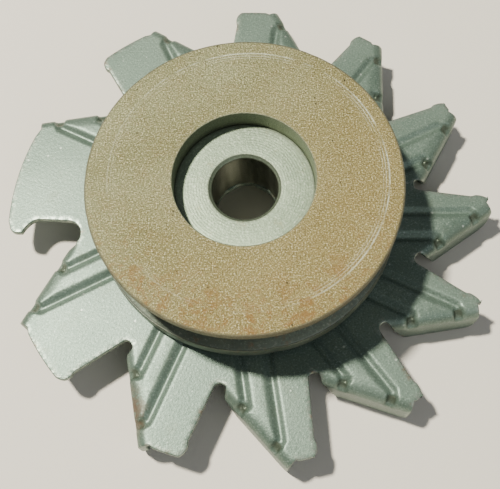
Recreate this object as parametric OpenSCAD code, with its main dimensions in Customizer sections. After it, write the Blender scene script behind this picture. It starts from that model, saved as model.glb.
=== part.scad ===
// Drive pulley and cooling fan of a car alternator, millimetres.
// The origin is on the shaft axis, in the plane where the pulley sits on the fan.
// Z points out of the pulley's front face, away from the alternator.

/* [Pulley] */
// Outside diameter of both flanges
pulley_d = 80; // [70:1:100]
// Diameter of the shaft bore
bore_d = 17; // [15:0.5:20]
// Height from the fan to the front face
pulley_h = 23.2; // [20:0.2:30]
// Thickness of the front sheave at its middle
front_t = 6.3; // [5:0.1:8]
// Diameter of the nut recess in the front sheave
recess_d = 36; // [30:1:44]
// Width of the plain rim in front of the belt groove
front_rim = 3.2; // [2:0.1:4]
// Width of the plain rim behind the belt groove
rear_rim = 4.6; // [3:0.1:5]
// How far the hub stands out behind the rear sheave
boss_h = 3; // [2:0.5:4]
// Diameter of the hub where it goes through the rear sheave
boss_d = 36; // [30:1:44]
// Chamfer at the mouth of the bore
bore_chamfer = 0.9; // [0.4:0.1:1.5]
// How far the hub's spigot enters the front sheave
spigot_h = 0.6; // [0.4:0.1:1.2]

/* [Belt groove] */
// Depth of the groove below the rim
groove_depth = 9.5; // [7:0.5:11]
// Angle of each groove wall
wall_angle = 18; // [15:1:20]

/* [Fan] */
// Sheet thickness
sheet_t = 2; // [1.5:0.1:2.5]
// Diameter of the hole over the shaft
fan_hole_d = 17; // [17:0.1:18]
// Radius of the flat blade tips
tip_r = 65.8; // [62:0.2:70]
// Radius where the folded edge of a blade ends
fold_r = 67; // [64:0.2:71]
// Height of the folded vanes, from the top of the sheet
vane_h = 12.4; // [9:0.2:16]
// Outer radius of the bend
bend_r = 3; // [2.6:0.1:4]
// Length of the bend
fold_l = 23.5; // [20:0.5:26]
// Angle between a vane and the radius at its tip
vane_lean = 34.5; // [28:0.5:40]
// Radius of the inner ends of the slots
slot_r = 46.6; // [45:0.2:50]
// Width of the slots
slot_w = 3; // [2:0.2:4]
// Corner radius of the vanes
vane_corner = 3; // [1:0.5:5]

/* [Pressed grooves] */
// Width of the stiffening grooves
rib_w = 2.4; // [1.6:0.2:3.4]
// Depth of the stiffening grooves
rib_depth = 0.9; // [0.4:0.1:1.2]
// Radius where both grooves start, under the pulley
rib_start = 37; // [34:0.5:40]
// Radius where the long groove ends
rib_long = 58; // [52:0.5:58]
// Radius where the short groove ends
rib_short = 48; // [44:0.5:48]

/* [Display] */
// Piece to draw, or all of them

/* [Hidden] */
// Angles of the slots. The pitch is uneven, so that the fan hums less.
slots = [190.7, 230.4, 262.4, 291.3, 318.1, 343.7, 369.5, 396.8, 426, 458.8, 498, 550.7];
fold_turn = 16.6;
slot_turn = -17;
rim_r = pulley_d / 2;
root_r = rim_r - groove_depth;
hub_z = pulley_h - front_t;
seat_z = hub_z - spigot_h;
rear_z0 = boss_h;
rear_z1 = boss_h + rear_rim + groove_depth * tan(wall_angle);
front_z0 = pulley_h - front_rim;
flat_n = bend_r + 0.2;
slot_l = 14.4;
rib_side_1 = -0.4;
rib_side_2 = -7.6;
$fn = 96;

// Polar point
function pol(r, a) = [r * cos(a), r * sin(a)];
// Point by the fold of a blade: u runs in along the fold, n runs out from the blade
function by_fold(i, u, n) =
    pol(fold_r, slots[i] + fold_turn)
    + u * pol(-1, slots[i] + fold_turn + vane_lean)
    + n * pol(1, slots[i] + fold_turn + vane_lean - 90);
// Point by a slot: s runs out along the slot, v runs to its trailing side
function by_slot(i, s, v) =
    pol(slot_r + slot_w / 2, slots[i])
    + s * pol(1, slots[i] + slot_turn)
    + v * pol(1, slots[i] + slot_turn + 90);

module front_sheave()
color([0.62, 0.56, 0.43])
rotate_extrude()
polygon([
    [recess_d / 2, seat_z],
    [root_r, seat_z],
    [root_r, hub_z],
    [rim_r - 0.4, front_z0 - 0.13],
    [rim_r, front_z0 + 0.3],
    [rim_r, pulley_h - 0.5],
    [rim_r - 0.5, pulley_h],
    [recess_d / 2 + 0.4, pulley_h],
    [recess_d / 2, pulley_h - 0.4]]);

module hub()
color([0.60, 0.64, 0.58])
rotate_extrude()
polygon([
    [bore_d / 2, 0],
    [boss_d / 2 - 0.6, 0],
    [boss_d / 2, 0.6],
    [boss_d / 2, rear_z1],
    [root_r, rear_z1],
    [root_r, seat_z],
    [recess_d / 2, seat_z],
    [recess_d / 2, hub_z - 0.3],
    [recess_d / 2 - 0.3, hub_z],
    [bore_d / 2 + bore_chamfer, hub_z],
    [bore_d / 2, hub_z - bore_chamfer]]);

module rear_sheave()
color([0.47, 0.52, 0.46])
rotate_extrude()
polygon([
    [boss_d / 2, rear_z0],
    [rim_r - 0.6, rear_z0],
    [rim_r, rear_z0 + 0.6],
    [rim_r, rear_z0 + rear_rim - 0.3],
    [rim_r - 0.4, rear_z0 + rear_rim + 0.13],
    [root_r, rear_z1],
    [boss_d / 2, rear_z1]]);

// A slot with a round inner end
module slot_cut(i)
translate(by_slot(i, 0, 0))
rotate(slots[i] + slot_turn) {
    circle(d = slot_w, $fn = 32);
    translate([0, -slot_w / 2])
    square([slot_l, slot_w]);
}

// The centre of the fan, a disc with straight sides where the blades start
module fan_plate()
color([0.56, 0.61, 0.55])
translate([0, 0, -sheet_t])
difference() {
    linear_extrude(sheet_t)
    polygon([for (i = [0:10]) pol(slot_r - 0.6, slots[i])]);
    translate([0, 0, -1])
    cylinder(d = fan_hole_d, h = sheet_t + 2);
    translate([0, 0, sheet_t])
    for (i = [0:10]) {
        rib(i, rib_long, rib_side_1);
        rib(i, rib_short, rib_side_2);
    }
}

// Outline of the flat of a blade, from one slot to the next
module blade_flat(i) {
    a_tip = slots[i] + fold_turn + 3;
    a_end = slots[i + 1] - 5.7;
    intersection() {
        polygon(concat(
            [pol(slot_r - 0.6, slots[i])],
            [by_slot(i, 0, 0)],
            [by_fold(i, fold_l - 0.3, -flat_n)],
            [by_fold(i, 0.3, -flat_n)],
            [for (k = [0:8]) pol(tip_r + 1, a_tip + (a_end - a_tip) * k / 8)],
            [by_slot(i + 1, slot_l + 1.2, -0.7)],
            [by_slot(i + 1, slot_l, -slot_w / 2)],
            [by_slot(i + 1, slot_l - 1, -slot_w / 2 + 0.4)],
            [by_slot(i + 1, 0, 0)],
            [pol(slot_r - 0.6, slots[i + 1])]));
        circle(r = tip_r, $fn = 180);
    }
}

// Balance cut in the edge of the widest blade
module balance_cut()
translate(by_slot(11, 0, 0))
rotate(slots[11] + slot_turn) {
    translate([2.2, -2.3])
    circle(r = 3.8, $fn = 48);
    translate([11.2, -3.2])
    circle(r = 2.4, $fn = 40);
    polygon([[2.6, -6], [11, -5.52], [11.6, -1], [2.2, -0.4]]);
}

// One pressed groove
module rib(i, end_r, side) {
    rr = (pow(rib_w / 2, 2) + pow(rib_depth, 2)) / (2 * rib_depth);
    rotate(slots[i] + fold_turn)
    translate([rib_start, side, rr - rib_depth])
    rotate([0, 90, 0])
    cylinder(r = rr, h = end_r - rib_start, $fn = 36);
}

// The folded part of a blade: the bend and the vane below it
module vane(i) {
    turn = slots[i] + fold_turn + vane_lean;
    slant = (vane_h - bend_r) * 0.39;
    translate(pol(fold_r, slots[i] + fold_turn))
    rotate(turn)
    translate([-fold_l, 0, 0]) {
        // strip of the flat beside the bend
        translate([0, bend_r, -sheet_t])
        cube([fold_l, 0.4, sheet_t]);
        // bend, a quarter of a tube
        translate([0, bend_r, -bend_r])
        rotate([0, 90, 0])
        difference() {
            cylinder(r = bend_r, h = fold_l, $fn = 64);
            translate([0, 0, -1])
            cylinder(r = bend_r - sheet_t, h = fold_l + 2, $fn = 64);
            translate([0, -bend_r - 1, -1])
            cube([bend_r + 1, 2 * bend_r + 2, fold_l + 2]);
            translate([-bend_r - 1, 0, -1])
            cube([bend_r + 2, bend_r + 1, fold_l + 2]);
        }
        // vane
        translate([0, sheet_t, 0])
        rotate([90, 0, 0])
        linear_extrude(sheet_t)
        difference() {
            polygon([[0, -bend_r], [slant, -vane_h], [fold_l, -vane_h], [fold_l, -bend_r]]);
            translate([fold_l - vane_corner, -vane_h + vane_corner])
            difference() {
                translate([0, -vane_corner - 1])
                square(vane_corner + 1);
                circle(r = vane_corner, $fn = 48);
            }
        }
    }
}

// A fan blade: a flat, two pressed grooves and a vane folded down at one edge
module blade(i)
color([0.56, 0.61, 0.55]) {
    difference() {
        translate([0, 0, -sheet_t])
        linear_extrude(sheet_t)
        difference() {
            blade_flat(i);
            slot_cut(i);
            slot_cut(i + 1);
            if (i == 10)
            balance_cut();
        }
        rib(i, rib_long, rib_side_1);
        rib(i, rib_short, rib_side_2);
    }
    vane(i);
}

module blade_1() blade(0);
module blade_2() blade(1);
module blade_3() blade(2);
module blade_4() blade(3);
module blade_5() blade(4);
module blade_6() blade(5);
module blade_7() blade(6);
module blade_8() blade(7);
module blade_9() blade(8);
module blade_10() blade(9);
module blade_11() blade(10);

front_sheave();
hub();
rear_sheave();
fan_plate();
blade_1();
blade_2();
blade_3();
blade_4();
blade_5();
blade_6();
blade_7();
blade_8();
blade_9();
blade_10();
blade_11();
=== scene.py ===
import math

import bpy
import numpy as np
from mathutils import Matrix, Vector
from mathutils.geometry import delaunay_2d_cdt
from mathutils.kdtree import KDTree


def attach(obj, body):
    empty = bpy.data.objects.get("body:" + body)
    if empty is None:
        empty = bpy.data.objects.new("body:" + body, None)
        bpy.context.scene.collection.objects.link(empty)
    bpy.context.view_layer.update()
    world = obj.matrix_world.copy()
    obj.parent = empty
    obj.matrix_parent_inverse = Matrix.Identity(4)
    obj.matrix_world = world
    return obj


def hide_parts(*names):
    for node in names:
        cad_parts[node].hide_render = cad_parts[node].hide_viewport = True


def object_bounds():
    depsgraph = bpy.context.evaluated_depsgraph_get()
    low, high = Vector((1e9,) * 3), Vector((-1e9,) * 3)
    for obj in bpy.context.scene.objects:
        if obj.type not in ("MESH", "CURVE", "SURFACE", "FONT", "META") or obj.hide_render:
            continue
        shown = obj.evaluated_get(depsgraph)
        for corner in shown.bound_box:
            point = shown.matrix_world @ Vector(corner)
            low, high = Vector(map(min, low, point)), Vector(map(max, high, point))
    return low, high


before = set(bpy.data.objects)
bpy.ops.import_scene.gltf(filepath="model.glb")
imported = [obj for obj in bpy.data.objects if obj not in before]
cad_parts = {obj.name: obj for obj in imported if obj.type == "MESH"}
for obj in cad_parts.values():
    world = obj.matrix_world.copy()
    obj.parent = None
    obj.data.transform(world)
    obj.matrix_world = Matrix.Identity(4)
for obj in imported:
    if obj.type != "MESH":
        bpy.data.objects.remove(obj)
cad_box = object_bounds()

MM = 0.001


# ---------------------------------------------------------------- shader maths

class Value:
    """A shader socket that can be added and multiplied like a number."""

    def __init__(self, tree, socket):
        self.tree = tree
        self.socket = socket

    def math(self, operation, *others):
        node = self.tree.nodes.new("ShaderNodeMath")
        node.operation = operation
        for place, item in enumerate((self,) + others):
            put(self.tree, item, node.inputs[place])
        return Value(self.tree, node.outputs[0])

    def __add__(self, other):
        return self.math("ADD", other)

    def __sub__(self, other):
        return self.math("SUBTRACT", other)

    def __mul__(self, other):
        return self.math("MULTIPLY", other)

    def __truediv__(self, other):
        return self.math("DIVIDE", other)

    def __pow__(self, other):
        return self.math("POWER", other)

    def __rsub__(self, other):
        return (self * -1.0) + other

    __radd__ = __add__
    __rmul__ = __mul__

    def above(self, low, high):
        """0 below low, 1 above high, and a smooth step between."""
        node = self.tree.nodes.new("ShaderNodeMapRange")
        node.interpolation_type = "SMOOTHSTEP"
        put(self.tree, self, node.inputs["Value"])
        node.inputs["From Min"].default_value = low
        node.inputs["From Max"].default_value = high
        return Value(self.tree, node.outputs["Result"])

    def below(self, low, high):
        return 1 - self.above(low, high)

    def near(self, centre, width):
        """1 at centre, fading to 0 at width away."""
        return ((self - centre).math("ABSOLUTE") / width).below(0.0, 1.0)


def put(tree, item, socket):
    if isinstance(item, Value):
        tree.links.new(item.socket, socket)
    else:
        socket.default_value = item


class Finish:
    """One material, built up from a maker's terms."""

    def __init__(self, name):
        self.material = bpy.data.materials.new(name)
        self.material.use_nodes = True
        self.tree = self.material.node_tree
        self.surface = self.tree.nodes["Principled BSDF"]
        self.place = self.node("ShaderNodeTexCoord", out="Object")
        split = self.node("ShaderNodeSeparateXYZ", Vector=self.place, out=None)
        self.x = Value(self.tree, split.outputs["X"])
        self.y = Value(self.tree, split.outputs["Y"])
        self.z = Value(self.tree, split.outputs["Z"])

    def node(self, kind, settings=None, out=0, **sockets):
        node = self.tree.nodes.new(kind)
        for key, value in (settings or {}).items():
            setattr(node, key, value)
        for key, value in sockets.items():
            put(self.tree, value, node.inputs[key.replace("_", " ")])
        return node if out is None else Value(self.tree, node.outputs[out])

    def noise(self, size, detail=3.0, rough=0.55, warp=0.0):
        """Cloudy noise whose patches are about size metres across."""
        return self.node("ShaderNodeTexNoise", out="Fac", Vector=self.place, Scale=1 / size,
                         Detail=detail, Roughness=rough, Distortion=warp)

    def cells(self, size, jitter=1.0):
        """Distance from the nearest of many scattered points."""
        return self.node("ShaderNodeTexVoronoi", out="Distance", Vector=self.place,
                         Scale=1 / size, Randomness=jitter)

    def grain(self, size, stretch):
        """Noise drawn out along one axis or more."""
        moved = self.node("ShaderNodeMapping", out="Vector", Vector=self.place, Scale=stretch)
        return self.node("ShaderNodeTexNoise", out="Fac", Vector=moved, Scale=1 / size, Detail=3.0)

    def painted_on(self, name):
        """A value stored on the piece's own points."""
        return self.node("ShaderNodeAttribute", {"attribute_name": name}, out="Fac")

    def radius(self, across=0.0, along=0.0):
        """Distance from the shaft axis, or from an axis beside it."""
        dx = self.x - across
        dy = self.y - along
        return (dx * dx + dy * dy) ** 0.5

    def mix(self, amount, first, second):
        node = self.tree.nodes.new("ShaderNodeMix")
        node.data_type = "RGBA"
        put(self.tree, amount, node.inputs["Factor"])
        for item, socket in ((first, node.inputs[6]), (second, node.inputs[7])):
            put(self.tree, item if isinstance(item, Value) else (*item, 1.0), socket)
        return Value(self.tree, node.outputs[2])

    def finish(self, colour, roughness, metal, height=None, depth=0.00005, level=0.5):
        put(self.tree, colour, self.surface.inputs["Base Color"])
        put(self.tree, roughness, self.surface.inputs["Roughness"])
        put(self.tree, metal, self.surface.inputs["Metallic"])
        self.surface.inputs["Specular IOR Level"].default_value = level
        if height is not None:
            bump = self.tree.nodes.new("ShaderNodeBump")
            bump.inputs["Distance"].default_value = depth
            bump.inputs["Strength"].default_value = 1.0
            put(self.tree, height, bump.inputs["Height"])
            self.tree.links.new(bump.outputs["Normal"], self.surface.inputs["Normal"])
        return self.material


# ---------------------------------------------------------------- fan, from its flat blank

SLOTS = [190.7, 230.4, 262.4, 291.3, 318.1, 343.7, 369.5, 396.8, 426.0, 458.8, 498.0, 550.7]
FOLD_TURN = 16.6
SLOT_TURN = -17.0
LEAN = 34.5
FOLD_R = 67.0
TIP_R = 65.75
SLOT_R = 48.1
SLOT_HALF = 1.5
SLOT_L = 14.4
BEND = 3.0
SHEET = 2.0
VANE = 12.38
HOLE = 8.5
RIM = 0.26
REACH = BEND * math.pi / 2 + VANE - BEND
# pressed grooves: how far each lies beside the blade's own line, and the radius where it ends
GROOVES = ((-0.4, 61.3), (-7.7, 52.2))
GROOVE_DEPTH = 0.9
# gusset dents: how far in along the fold each lies
GUSSETS = (5.4, 17.9)
GUSSET_DEPTH = 1.5


def polar(r, a):
    a = np.radians(a)
    return np.stack([r * np.cos(a), r * np.sin(a)], -1)


class Blade:
    """The places on one blade, in the plane of the flat blank."""

    def __init__(self, number):
        self.slot = SLOTS[number]
        self.out = self.slot + FOLD_TURN
        self.tip = polar(FOLD_R, self.out)
        self.inward = polar(-1, self.out + LEAN)
        self.away = polar(1, self.out + LEAN - 90)
        self.slot_end = polar(SLOT_R, self.slot)
        self.slot_run = polar(1, self.slot + SLOT_TURN)
        self.slot_side = polar(1, self.slot + SLOT_TURN + 90)

    def fold(self, u, n):
        return self.tip + np.multiply.outer(u, self.inward) + np.multiply.outer(n, self.away)

    def beside(self, s, v):
        return (self.slot_end + np.multiply.outer(s, self.slot_run)
                + np.multiply.outer(v, self.slot_side))

    def fold_of(self, p):
        d = p - self.tip
        return d @ self.inward, d @ self.away

    def slot_of(self, p):
        d = p - self.slot_end
        return d @ self.slot_run, d @ self.slot_side

    def out_of(self, p):
        """Along and across the direction in which the blade points."""
        return p @ polar(1, self.out), p @ polar(1, self.out + 90)


BLADES = [Blade(i) for i in range(11)]


def stepped(points, gap):
    """A closed or open line with a point about every gap."""
    out = []
    for a, b in zip(points[:-1], points[1:]):
        steps = max(1, round(float(np.hypot(*(b - a))) / gap))
        out += [a + (b - a) * k / steps for k in range(steps)]
    return out + [points[-1]]


def rounded(points, radii, turns=6):
    """An open line whose corners are rounded by these radii."""
    out = [points[0]]
    for a, b, c, r in zip(points[:-2], points[1:-1], points[2:], radii):
        if r <= 0:
            out.append(b)
            continue
        ta = (a - b) / np.hypot(*(a - b))
        tc = (c - b) / np.hypot(*(c - b))
        for k in range(turns + 1):
            w = k / turns
            out.append(b + ta * r * (1 - w) ** 2 + tc * r * w ** 2)
    return out + [points[-1]]


def blank_outline():
    """The edge of the flat blank, blade by blade, anticlockwise."""
    line = []
    for i, blade in enumerate(BLADES):
        after = Blade(i + 1)
        turn = np.radians(np.arange(-90, -271, -15))
        end = blade.beside(SLOT_HALF * np.cos(turn), SLOT_HALF * np.sin(turn))
        if i == 0:
            end = np.array([blade.beside(2.2, SLOT_HALF)] * 2)
        n0 = blade.fold_of(blade.beside(0.0, SLOT_HALF))[1]
        rate = float(blade.slot_run @ blade.away)
        low = REACH - BEND
        wall = blade.beside((low - n0) / rate, SLOT_HALF)
        corner_turn = after.slot - 5.7
        first = blade.out + 2.4
        tip_arc = [polar(TIP_R, a) for a in np.linspace(first, corner_turn - 0.2, 12)]
        shoulder = after.beside(SLOT_L + 0.9, -1.0)
        corner = after.beside(17.5, -0.95)
        path = rounded(
            [end[-1], wall, blade.fold(0.0, low), blade.fold(0.0, -BEND)],
            [1.0, 3.6])
        path += tip_arc[1:-1]
        if i < 10:
            path += rounded(
                [tip_arc[-2], corner, shoulder, after.beside(SLOT_L, -SLOT_HALF),
                 after.beside(0.0, -SLOT_HALF)],
                [1.4, 0.4, 0.5])[1:]
        else:
            path += rounded([tip_arc[-2], corner, after.beside(14.6, -1.2)], [1.6])[1:]
            path += [after.beside(s, v) for s, v in balance_edge()]
        line += list(end[1:-1]) + stepped(path, 0.75)
    return drawn_in(np.array(line))


def drawn_in(line):
    """Moves a closed anticlockwise line inwards by the rounding of the sheet's edge."""
    run = np.roll(line, -1, 0) - np.roll(line, 1, 0)
    run /= np.hypot(run[:, 0], run[:, 1])[:, None]
    line = line + RIM * np.column_stack([-run[:, 1], run[:, 0]])
    kept = [line[0]]
    for a in line[1:]:
        if np.hypot(*(a - kept[-1])) > 0.14:
            kept.append(a)
    return np.array(kept)


def balance_edge():
    """The cut that trims the widest blade's balance, from its hooked tip to the slot."""
    edge = []
    for w in np.linspace(0.06, 1, 9):
        edge.append((14.6 * (1 - w) ** 2 + 2 * 13.1 * w * (1 - w) + 10.2 * w ** 2,
                     -1.2 * (1 - w) ** 2 - 2 * 5.4 * w * (1 - w) - 5.6 * w ** 2))
    edge.append((6.0, -5.9))
    for a in range(-90, -256, -15):
        turn = math.radians(a)
        edge.append((2.2 + 3.8 * math.cos(turn), -2.3 + 3.8 * math.sin(turn)))
    return edge


def smooth(x, low, high):
    t = np.clip((x - low) / (high - low), 0, 1)
    return t * t * (3 - 2 * t)


def pressed_shape(p):
    """Height of the grooves, gusset dents and swells over the plain sheet, and the dents alone, for
    the painted shade in them.
    """
    h = np.zeros(len(p))
    gusset = np.zeros(len(p))
    for blade in BLADES:
        x, y = blade.out_of(p)
        u, n = blade.fold_of(p)
        side = (x > 20) & (blade.slot_of(p)[1] > -0.3) & (y > -24) & (y < 24)
        for across, end in GROOVES:
            run = np.maximum(x - end + 0.9, 0)
            off = np.hypot(run, y - across)
            groove = 1 - smooth(off, 0.0, 1.75)
            fade = smooth(x, 24, 30)
            h += np.where(side, -GROOVE_DEPTH * fade * groove, 0)
        swell = smooth(y, -7.2, -5.2) * (1 - smooth(y, -2.9, -1.2)) * smooth(x, 30, 38)
        h += np.where(side, 0.32 * swell * (1 - smooth(n, -4.5, -2.0)), 0)
        for along in GUSSETS:
            dent = np.exp(-(((u - along) / 1.25) ** 4 + ((n + 0.6) / 2.0) ** 4))
            h += np.where(side, -GUSSET_DEPTH * dent, 0)
            gusset += np.where(side, dent, 0)
    return h, gusset


def bent(p, h):
    """Folds the blank: each point's place."""
    at = np.column_stack([p, h])
    for blade in BLADES:
        u, n = blade.fold_of(p)
        v = blade.slot_of(p)[1]
        x, y = blade.out_of(p)
        mine = (n > -BEND) & (v > -0.3) & (u < 25.6) & (x > 35)
        hold = 1 - smooth(u, 23.7, 25.4)
        d = np.where(mine, (n + BEND) * hold, 0)
        turn = np.clip(d / BEND, 0, math.pi / 2)
        flat = np.maximum(d - BEND * math.pi / 2, 0)
        out = BEND * np.sin(turn) - BEND + h * np.sin(turn)
        height = h * np.cos(turn) - BEND * (1 - np.cos(turn)) - flat
        placed = blade.tip + u[:, None] * blade.inward + out[:, None] * blade.away
        use = mine & (hold > 0)
        blend = hold[:, None]
        at[use, :2] = (placed * blend + p * (1 - blend))[use]
        at[use, 2] = height[use]
    return at


def inside(points, loop):
    """Which of the points lie inside a closed line."""
    a = loop
    b = np.roll(loop, -1, 0)
    hit = np.zeros(len(points), bool)
    for start in range(0, len(points), 4000):
        q = points[start:start + 4000]
        cross = (a[None, :, 1] > q[:, None, 1]) != (b[None, :, 1] > q[:, None, 1])
        rise = np.where(b[:, 1] == a[:, 1], 1e-12, b[:, 1] - a[:, 1])
        xs = (b[:, 0] - a[:, 0]) * (q[:, None, 1] - a[:, 1]) / rise + a[:, 0]
        hit[start:start + 4000] = (np.sum(cross & (q[:, None, 0] < xs), 1) % 2) == 1
    return hit


def thin_out(points, keep, gap):
    """Drops each point that has a kept one nearer than gap."""
    tree = KDTree(len(keep))
    for k, p in enumerate(keep):
        tree.insert((p[0], p[1], 0), k)
    tree.balance()
    return [p for p in points if tree.find((p[0], p[1], 0))[2] > gap]


def blank_points(outline, hole):
    """The rim of the blank, and the points inside it: dense where the sheet is pressed or bent."""
    rim = np.vstack([outline, hole])
    fine = []
    rows = np.arange(-2.6, 2.61, 0.4)
    for blade in BLADES:
        turned_out = np.array([polar(1, blade.out), polar(1, blade.out + 90)])
        for across, end in GROOVES:
            for runs in (np.arange(28, end - 1.0, 1.0), np.arange(end - 1.0, end + 2.2, 0.4)):
                gx, gy = np.meshgrid(runs, rows)
                fine.append(np.column_stack([gx.ravel(), gy.ravel() + across]) @ turned_out)
        for u in np.arange(0.5, 24.0, 0.8):
            near = min(abs(u - along) for along in GUSSETS) < 2.4
            for du in ((0, 0.4) if near else (0,)):
                ns = np.arange(-4.2, 2.6, 0.4 if near else 0.52)
                fine.append(blade.fold(np.full(len(ns), u + du), ns))
    fine = np.vstack(fine)
    fine = fine[inside(fine, outline)]
    chosen = []
    taken = set()
    for p in fine:
        cell = (int(p[0] // 0.3), int(p[1] // 0.3))
        if cell not in taken:
            taken.add(cell)
            chosen.append(p)
    chosen = thin_out(chosen, rim, 0.32)
    ground = []
    for row, y in enumerate(np.arange(-76, 76, 0.95)):
        for x in np.arange(-76, 76, 1.1):
            ground.append((x + (row % 2) * 0.55, y))
    ground = np.array(ground)
    r = np.hypot(ground[:, 0], ground[:, 1])
    coarse = (r < 27) & ((np.arange(len(ground)) % 5) != 0)
    ground = ground[(r > HOLE + 0.8) & ~coarse]
    ground = ground[inside(ground, outline)]
    ground = thin_out(ground, np.vstack([rim, np.array(chosen)]), 0.58)
    return rim, np.vstack([np.array(chosen), np.array(ground)])


def edge_distance(points, rim):
    """How far each point is from the nearest point of the rim."""
    tree = KDTree(len(rim))
    for k, p in enumerate(rim):
        tree.insert((p[0], p[1], 0), k)
    tree.balance()
    return np.array([tree.find((p[0], p[1], 0))[2] for p in points])


def point_normals(at, tris):
    face = np.cross(at[tris[:, 1]] - at[tris[:, 0]], at[tris[:, 2]] - at[tris[:, 0]])
    total = np.zeros_like(at)
    for k in range(3):
        np.add.at(total, tris[:, k], face)
    return total / np.maximum(np.linalg.norm(total, axis=1), 1e-12)[:, None]


def new_piece(name, verts, faces, material, values=None):
    mesh = bpy.data.meshes.new(name)
    mesh.from_pydata([tuple(v) for v in verts], [], [tuple(int(k) for k in f) for f in faces])
    mesh.validate()
    mesh.polygons.foreach_set("use_smooth", np.ones(len(mesh.polygons), bool))
    for key, data in (values or {}).items():
        layer = mesh.attributes.new(key, "FLOAT", "POINT")
        layer.data.foreach_set("value", np.asarray(data, float))
    mesh.materials.append(material)
    mesh.update()
    piece = bpy.data.objects.new(name, mesh)
    bpy.context.scene.collection.objects.link(piece)
    return piece


def stamped_fan(material):
    """The fan in one piece: the blank is meshed flat, pressed, folded and given its thickness."""
    outline = blank_outline()
    turn = np.linspace(0, 2 * math.pi, 90, endpoint=False)
    hole = np.column_stack([(HOLE + RIM) * np.cos(turn), (HOLE + RIM) * np.sin(turn)])
    rim, inner = blank_points(outline, hole)
    flat = np.vstack([rim, inner])
    n_out, n_hole = len(outline), len(hole)
    edges = [(k, (k + 1) % n_out) for k in range(n_out)]
    edges += [(n_out + k, n_out + (k + 1) % n_hole) for k in range(n_hole)]
    cut = delaunay_2d_cdt([Vector(p) for p in flat], edges, [], 0, 1e-5)
    pts = np.array([tuple(p) for p in cut[0]])
    tris = np.array([tuple(f) for f in cut[2] if len(f) == 3])
    mid = pts[tris].mean(1)
    keep = inside(mid, outline) & (np.hypot(mid[:, 0], mid[:, 1]) > HOLE * 0.995)
    tris = tris[keep]
    spin = np.cross(pts[tris[:, 1]] - pts[tris[:, 0]], pts[tris[:, 2]] - pts[tris[:, 0]])
    tris[spin < 0] = tris[spin < 0][:, ::-1]
    used = np.unique(tris)
    index = np.full(len(pts), -1)
    index[used] = np.arange(len(used))
    pts, tris = pts[used], index[tris]

    h, gusset = pressed_shape(pts)
    top = bent(pts, h)
    out = point_normals(top, tris)
    low = top - out * SHEET

    half = dict.fromkeys(e for a, b, c in tris for e in ((a, b), (b, c), (c, a)))
    rims = [e for e in half if (e[1], e[0]) not in half]
    after = {a: b for a, b in rims}
    before = {b: a for a, b in rims}
    verts = [top, low]
    faces = [tris, tris[:, ::-1] + len(top)]
    count = 2 * len(top)
    worn = np.exp(-edge_distance(pts, rim) / 0.35)
    values = [worn, worn]
    # the dent mask, on the top face only, which carries the painted shade in the gusset dents
    gusset_shade = [gusset, gusset * 0]
    ring_of = {}
    rings = ((0.62 * RIM, 0.05), (RIM, RIM), (RIM, SHEET - RIM), (0.62 * RIM, SHEET - 0.05))
    for k in after:
        t = top[after[k]] - top[before[k]]
        side = np.cross(t, out[k])
        side /= max(np.linalg.norm(side), 1e-9)
        ring_of[k] = (k, count, count + 1, count + 2, count + 3, k + len(top))
        verts.append(np.array([top[k] + side * a - out[k] * b for a, b in rings]))
        values.append(np.array([1.0, 0.8, 0.8, 1.0]))
        gusset_shade.append(np.zeros(4))
        count += 4
    sides = []
    for a, b in rims:
        for j in range(5):
            sides.append((ring_of[b][j], ring_of[a][j], ring_of[a][j + 1], ring_of[b][j + 1]))
    verts = np.vstack(verts) * MM
    all_faces = [tuple(f) for block in faces for f in block] + sides
    return new_piece("fan_stamping", verts, all_faces, material,
                     {"worn": np.concatenate(values), "gusset": np.concatenate(gusset_shade)})


# ---------------------------------------------------------------- turned pieces

def turned(name, profile, material, around=288, wobble=0.0, seed=1):
    """A turned piece. profile is (radius, height, corner rounding) in millimetres, anticlockwise.

    wobble is the depth of the small nicks round the largest radius.
    """
    line = []
    count = len(profile)
    for k, (r, z, soft) in enumerate(profile):
        here = np.array([r, z])
        last = np.array(profile[k - 1][:2])
        nxt = np.array(profile[(k + 1) % count][:2])
        if soft <= 0:
            line.append(here)
            continue
        ta = (last - here) / np.hypot(*(last - here))
        tb = (nxt - here) / np.hypot(*(nxt - here))
        for w in np.linspace(0, 1, 5):
            line.append(here + ta * soft * (1 - w) ** 2 + tb * soft * w ** 2)
    full = []
    for a, b in zip(line, line[1:] + line[:1]):
        steps = max(1, int(np.hypot(*(b - a)) / 2.4))
        full += [a + (b - a) * j / steps for j in range(steps)]
    full = np.array(full)
    rng = np.random.default_rng(seed)
    turn = np.linspace(0, 2 * math.pi, around, endpoint=False)
    dent = np.zeros(around)
    for _ in range(9):
        at, size, width = rng.uniform(0, 2 * math.pi), rng.uniform(0.3, 1.0), rng.uniform(0.01, 0.035)
        gap = (turn - at + math.pi) % (2 * math.pi) - math.pi
        dent += size * np.exp(-(gap / width) ** 2)
    verts = []
    for k, a in enumerate(turn):
        outer = smooth(full[:, 0], full[:, 0].max() - 0.7, full[:, 0].max())
        r = full[:, 0] - wobble * dent[k] * outer
        verts.append(np.column_stack([r * math.cos(a), r * math.sin(a), full[:, 1]]))
    m = len(full)
    faces = []
    for k in range(around):
        nk = (k + 1) % around
        for j in range(m):
            nj = (j + 1) % m
            faces.append((k * m + j, nk * m + j, nk * m + nj, k * m + nj))
    bend = []
    for j in range(m):
        a, b, c = full[j - 1], full[j], full[(j + 1) % m]
        u, v = b - a, c - b
        sharp = abs(math.atan2(u[0] * v[1] - u[1] * v[0], float(u @ v)))
        bend.append(min(1.0, sharp * 2.2))
    return new_piece(name, np.vstack(verts) * MM, faces, material, {"worn": np.tile(bend, around)})


# ---------------------------------------------------------------- finishes

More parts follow.
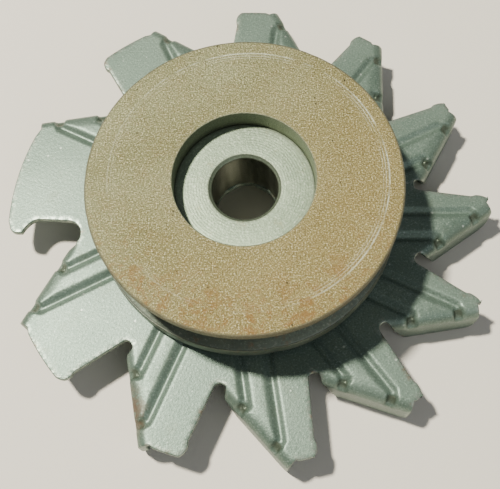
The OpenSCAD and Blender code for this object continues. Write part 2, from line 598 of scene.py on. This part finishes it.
def painted_sheet():
    f = Finish("grey_green_painted_sheet")
    cloud = f.noise(0.024, 4.0)
    speck = f.noise(0.00045, 2.0, 0.7)
    grit = f.noise(0.0008, 4.0, 0.65)
    worn = f.painted_on("worn")
    colour = f.mix(cloud.above(0.34, 0.66), (0.118, 0.172, 0.137), (0.154, 0.214, 0.172))
    colour = f.mix(speck.above(0.54, 0.70) * 0.50, colour, (0.34, 0.42, 0.36))
    colour = f.mix(speck.below(0.32, 0.46) * 0.50, colour, (0.055, 0.088, 0.062))
    grime = f.noise(0.009, 5.0, 0.7, 0.6).above(0.53, 0.68)
    colour = f.mix(grime * 0.30, colour, (0.115, 0.145, 0.105))
    chips = f.cells(0.0031).below(0.06, 0.15) * f.noise(0.010).above(0.48, 0.60)
    colour = f.mix(chips * 0.6, colour, (0.55, 0.62, 0.55))
    # painted shade: the gusset dents are darkened as if their hollows faced away from the light
    colour = f.mix(f.painted_on("gusset").above(0.25, 0.85) * 0.7, colour, (0.062, 0.074, 0.046))
    bare = worn * f.noise(0.0012, 3.0).above(0.40, 0.60)
    colour = f.mix(bare * 0.45, colour, (0.46, 0.50, 0.43))
    rust_at = f.radius(-31.5 * MM, -53.5 * MM).below(0.003, 0.0095)
    rust = rust_at * f.noise(0.0030, 4.0, 0.7).above(0.40, 0.56) * 0.85
    spots = f.noise(0.0048, 5.0, 0.8).above(0.67, 0.75) * 0.45
    rust = rust + spots + worn * f.noise(0.0065, 4.0, 0.7).above(0.56, 0.66) * 0.6
    colour = f.mix(rust, colour, (0.120, 0.050, 0.020))
    rough = 0.38 + grit * 0.12 + rust * 0.2 - bare * 0.08
    metal = 0.50 + bare * 0.3 - rust * 0.35
    height = grit * 0.6 + speck * 0.3 + chips * -0.3
    return f.finish(colour, rough, metal, height, 0.00009)


def rusted_face():
    f = Finish("bare_steel_under_tan_rust")
    cloud = f.noise(0.019, 5.0, 0.6)
    fine = f.noise(0.00040, 3.0, 0.75)
    mottle = f.noise(0.0024, 4.0, 0.7)
    dots = f.cells(0.0024)
    worn = f.painted_on("worn")
    warm = (f.x * 0.75 - f.y * 0.65).above(-0.030, 0.034)
    colour = f.mix(cloud.above(0.34, 0.66), (0.205, 0.208, 0.095), (0.270, 0.280, 0.148))
    colour = f.mix(warm * 0.80, colour, (0.300, 0.232, 0.080))
    colour = f.mix(mottle.above(0.46, 0.68) * 0.25, colour, (0.185, 0.125, 0.040))
    colour = f.mix(fine.above(0.52, 0.66) * 0.80, colour, (0.86, 0.80, 0.52))
    colour = f.mix(fine.below(0.34, 0.50) * 0.70, colour, (0.080, 0.065, 0.025))
    low_side = (f.y * -1).above(0.002, 0.034) * f.radius().above(0.022, 0.038)
    brown = f.noise(0.0036, 5.0, 0.8).above(0.46, 0.62) * (low_side * 0.85 + 0.10)
    colour = f.mix(brown * 0.75, colour, (0.235, 0.112, 0.022))
    pits = dots.below(0.04, 0.13) * f.noise(0.006).above(0.52, 0.62)
    colour = f.mix(pits * 0.8, colour, (0.050, 0.035, 0.018))
    ring_r = f.radius(0.9 * MM, 0.9 * MM)
    ring = ring_r.near(35.2 * MM, 0.32 * MM) + ring_r.near(34.4 * MM, 0.20 * MM) * 0.7
    ring = ring + ring_r.near(33.7 * MM, 0.16 * MM) * 0.45
    right_side = (f.x * 0.8 + f.y * 0.5).above(-0.020, 0.018) * 0.75 + 0.25
    ring = ring * f.noise(0.009, 3.0).above(0.36, 0.60) * f.z.above(0.0228, 0.0231) * right_side
    colour = f.mix(ring * 0.8, colour, (0.66, 0.70, 0.56))
    wall = f.radius().below(0.0181, 0.0184)
    colour = f.mix(wall * 0.8, colour, (0.19, 0.225, 0.165))
    # dark rim edge: partly the chamfer's own dark brown, partly painted shade on the rim's side
    edge = f.radius().above(0.0393, 0.0397)
    colour = f.mix(edge * 0.8, colour, (0.100, 0.098, 0.062))
    colour = f.mix(worn * 0.10, colour, (0.42, 0.42, 0.30))
    rough = 0.38 + fine * 0.14 + brown * 0.14 - ring * 0.10
    metal = 0.72 - brown * 0.3 + ring * 0.2
    height = fine * 1.0 + mottle * 0.8 + cloud * 0.3 - pits * 0.9 - ring * 0.15
    return f.finish(colour, rough, metal, height, 0.00030)


def turned_hub():
    f = Finish("blasted_turned_hub")
    cloud = f.noise(0.012, 4.0)
    fine = f.noise(0.00055, 3.0, 0.7)
    worn = f.painted_on("worn")
    rings = (f.radius() * 9000.0 + f.noise(0.006, 2.0) * 2.0).math("SINE") * 0.5 + 0.5
    colour = f.mix(cloud.above(0.35, 0.65), (0.205, 0.270, 0.188), (0.250, 0.320, 0.225))
    colour = f.mix(fine.above(0.52, 0.70) * 0.55, colour, (0.56, 0.62, 0.50))
    colour = f.mix(fine.below(0.32, 0.46) * 0.45, colour, (0.135, 0.160, 0.110))
    stain = f.noise(0.0040, 4.0, 0.7).above(0.60, 0.72)
    colour = f.mix(stain * 0.35, colour, (0.22, 0.19, 0.10))
    lip = f.radius().near(9.2 * MM, 0.75 * MM)
    colour = f.mix(lip * 0.7, colour, (0.085, 0.100, 0.070))
    bore = f.radius().below(0.0086, 0.0088)
    streak = f.grain(0.0030, (1.0, 1.0, 0.16)).above(0.42, 0.62)
    colour = f.mix(bore * 0.85, colour, f.mix(streak, (0.105, 0.110, 0.080), (0.20, 0.215, 0.165)))
    # painted shade: darker along the inner corner where the recess wall meets the hub face
    painted_corner_shade = f.radius().near(17.6 * MM, 0.5 * MM) * f.z.above(0.0160, 0.0168)
    colour = f.mix(painted_corner_shade * 0.45, colour, (0.12, 0.13, 0.09))
    colour = f.mix(worn * 0.15, colour, (0.50, 0.53, 0.45))
    rough = 0.40 + fine * 0.14 - bore * 0.10
    metal = 0.62 + bore * 0.3
    height = fine * 0.6 + rings * 0.07
    return f.finish(colour, rough, metal, height, 0.00012)


def rear_sheave_in_painted_shade():
    f = Finish("rear_sheave_with_painted_shade")
    cloud = f.noise(0.014, 4.0)
    fine = f.noise(0.0007, 3.0, 0.7)
    worn = f.painted_on("worn")
    # painted shade: the sheave's base colour is darkened to stand for the shade it lies in under the
    # front flange; the rust-brown patches and lighter rubbed edges are its own
    colour = f.mix(cloud.above(0.35, 0.65), (0.080, 0.105, 0.078), (0.120, 0.150, 0.112))
    colour = f.mix(fine.above(0.54, 0.70) * 0.5, colour, (0.34, 0.38, 0.30))
    colour = f.mix(fine.below(0.32, 0.46) * 0.4, colour, (0.05, 0.06, 0.042))
    colour = f.mix(f.noise(0.0042, 5.0, 0.75).above(0.55, 0.68) * 0.55, colour, (0.20, 0.115, 0.045))
    colour = f.mix(worn * 0.5, colour, (0.42, 0.45, 0.38))
    rough = 0.38 + fine * 0.16
    height = fine * 0.7 + cloud * 0.3
    return f.finish(colour, rough, 0.60 + worn * 0.2, height, 0.00014)


def pale_floor():
    f = Finish("pale_floor")
    cloud = f.noise(0.30, 3.0)
    colour = f.mix(cloud, (0.74, 0.70, 0.62), (0.78, 0.74, 0.66))
    return f.finish(colour, 0.85 + cloud * 0.1, 0.0, f.noise(0.002), 0.00005, 0.2)


# ---------------------------------------------------------------- the model

fan = stamped_fan(painted_sheet())
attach(fan, "fan")
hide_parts("fan_plate", *["blade_%d" % k for k in range(1, 12)])

front = turned("front_sheave_face", [
    (18.0, 16.3, 0.0), (30.5, 16.3, 0.0), (30.5, 16.9, 0.25), (39.75, 19.9, 0.5),
    (40.0, 20.6, 0.4), (40.0, 23.2, 0.55), (18.0, 23.2, 0.35)], rusted_face(), wobble=0.10, seed=4)
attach(front, "pulley")
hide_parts("front_sheave")

hub = turned("hub_turned", [
    (8.5, 0.0, 0.25), (18.0, 0.0, 0.5), (18.0, 10.69, 0.0), (30.5, 10.69, 0.0),
    (30.5, 16.3, 0.0), (18.0, 16.3, 0.0), (18.0, 16.9, 0.25), (9.4, 16.9, 0.12),
    (8.5, 16.0, 0.12)], turned_hub(), seed=7)
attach(hub, "pulley")
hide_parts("hub")

rear = turned("rear_sheave_face", [
    (18.0, 3.0, 0.0), (40.0, 3.0, 0.6), (40.0, 7.3, 0.5), (39.75, 7.75, 0.4),
    (30.5, 10.69, 0.3), (18.0, 10.69, 0.0)], rear_sheave_in_painted_shade(), wobble=0.12, seed=9)
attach(rear, "pulley")
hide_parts("rear_sheave")


# ---------------------------------------------------------------- floor, light and camera

FLOOR_GAP = 0.0001
bpy.ops.mesh.primitive_plane_add(size=6, location=(0, 0, cad_box[0][2] - FLOOR_GAP))
floor = bpy.context.object
floor.name = "floor"
floor.data.materials.append(pale_floor())


def soft_light(name, place, aim, size, power, tint):
    lamp = bpy.data.lights.new(name, "AREA")
    lamp.shape = "DISK"
    lamp.size = size
    lamp.energy = power
    lamp.color = tint
    holder = bpy.data.objects.new(name, lamp)
    bpy.context.scene.collection.objects.link(holder)
    holder.location = place
    holder.rotation_euler = (Vector(aim) - Vector(place)).to_track_quat("-Z", "Y").to_euler()


soft_light("key", (-0.35, 0.15, 0.87), (0, 0, 0), 0.075, 19.5, (1.0, 0.95, 0.82))
soft_light("fill", (0.55, -0.60, 0.70), (0, 0, 0), 0.9, 2.0, (0.92, 0.96, 1.0))
world = bpy.data.worlds.new("studio")
world.use_nodes = True
world.node_tree.nodes["Background"].inputs["Color"].default_value = (0.92, 0.95, 1.0, 1)
world.node_tree.nodes["Background"].inputs["Strength"].default_value = 0.17
bpy.context.scene.world = world


def spin(v):
    """The turn about v by its own length, in radians."""
    v = Vector(v)
    return Matrix.Rotation(v.length, 3, v.normalized())


PULLEY_R = 0.040
FACE_Z = 0.0232
SENSOR = 36.0
FOCAL = math.exp(6.73165494) / 500


def stand_camera():
    """Looks down on the face from in front, from about 200 mm away."""
    look = spin((-0.440259356, 0.0341969976, 0.00455084419)) @ Matrix.Diagonal((1, -1, -1))
    shift = Vector((-0.0382288625, 0.105741301, 5.21537879))
    place = -(look.transposed() @ shift) * PULLEY_R + Vector((0, 0, FACE_Z))
    lens = bpy.data.cameras.new("camera")
    lens.sensor_width = SENSOR
    lens.lens = FOCAL * SENSOR
    lens.shift_y = -0.169
    lens.clip_start = 0.01
    holder = bpy.data.objects.new("camera", lens)
    bpy.context.scene.collection.objects.link(holder)
    turn = look.transposed() @ Matrix.Diagonal((1, -1, -1))
    holder.matrix_world = Matrix.Translation(place) @ turn.to_4x4()
    bpy.context.scene.camera = holder


stand_camera()
